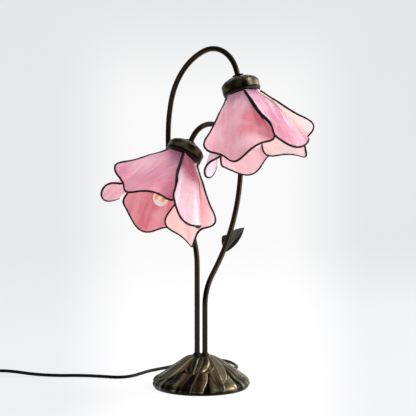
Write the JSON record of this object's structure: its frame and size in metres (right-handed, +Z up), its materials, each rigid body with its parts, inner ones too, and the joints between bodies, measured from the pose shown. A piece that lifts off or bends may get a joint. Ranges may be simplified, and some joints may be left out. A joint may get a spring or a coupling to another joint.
{
  "type": "table lamp",
  "caption": "Table lamp with bent metal stems rising from a cast leaf-pattern dome, each ending in a drooping flower shade of overlapping pink glass petals around a bulb.",
  "frame": {"origin": "middle of the base's felt, on the table", "axes": "+Z up the lamp, -Y towards the front that the shades lean to, +X to the right of that front"},
  "size_m": [0.5912, 0.353, 0.5045],
  "materials": {
    "pink_glass": "satin streaky stained glass",
    "lead_line": "dark patinated solder",
    "dark_bronze": "dark bronze with warm highlights",
    "bronze_tube": "dark bronze plating",
    "felt": "felt",
    "ballast": "raw casting",
    "zinc_steel": "zinc plated",
    "black_plastic": "moulded",
    "brass_contact": "bright",
    "bulb_glass": "milky",
    "filament": "phosphor strip",
    "black_cord": "matt"
  },
  "bodies": {
    "lamp": {"base_casting": "dark_bronze", "base_weight": "ballast", "base_plate": "zinc_steel", "base_felt": "felt", "plate_screws": "zinc_steel", "stem_clamp": "zinc_steel", "stem_nuts": "zinc_steel", "tall_stem": "bronze_tube", "short_stem": "bronze_tube", "stem_leaf": "dark_bronze", "upper_cap": "dark_bronze", "upper_cap_nut": "zinc_steel", "upper_socket": "black_plastic", "upper_socket_shell": "brass_contact", "upper_contact": "brass_contact", "upper_ring_nut": "zinc_steel", "upper_neck_ring": "lead_line", "upper_petal_1": "pink_glass", "upper_petal_2": "pink_glass", "upper_petal_3": "pink_glass", "upper_petal_4": "pink_glass", "upper_petal_5": "pink_glass", "upper_came_1": "lead_line", "upper_came_2": "lead_line", "upper_came_3": "lead_line", "upper_came_4": "lead_line", "upper_came_5": "lead_line", "lower_cap": "dark_bronze", "lower_cap_nut": "zinc_steel", "lower_socket": "black_plastic", "lower_socket_shell": "brass_contact", "lower_contact": "brass_contact", "lower_ring_nut": "zinc_steel", "lower_neck_ring": "lead_line", "lower_petal_1": "pink_glass", "lower_petal_2": "pink_glass", "lower_petal_3": "pink_glass", "lower_petal_4": "pink_glass", "lower_petal_5": "pink_glass", "lower_came_1": "lead_line", "lower_came_2": "lead_line", "lower_came_3": "lead_line", "lower_came_4": "lead_line", "lower_came_5": "lead_line", "cord_gland": "black_cord", "cord_free": "black_cord", "cord_coil": "black_cord", "cord_link": "black_cord", "switch_body": "black_plastic", "switch_cover": "black_plastic", "plug_body": "black_plastic", "plug_blades": "brass_contact"},
    "upper_bulb": {"upper_bulb_glass": "bulb_glass", "upper_bulb_base": "brass_contact", "upper_filament": "filament"},
    "lower_bulb": {"lower_bulb_glass": "bulb_glass", "lower_bulb_base": "brass_contact", "lower_filament": "filament"},
    "rocker": {"switch_rocker": "black_plastic"}
  },
  "joints": [
    {"name": "upper_bulb_unscrew", "type": "slide", "parent": "lamp", "child": "upper_bulb", "axis": [0.2407, -0.2093, -0.9478], "range_m": [0, 0.017]},
    {"name": "lower_bulb_unscrew", "type": "slide", "parent": "lamp", "child": "lower_bulb", "axis": [-0.4296, -0.3735, -0.8221], "range_m": [0, 0.017]},
    {"name": "rocker_tilt", "type": "hinge", "parent": "lamp", "child": "rocker", "pos_m": [-0.354, 0.072, 0.013], "axis": [0, 1, 0], "range_deg": [0, 18]}
  ]
}
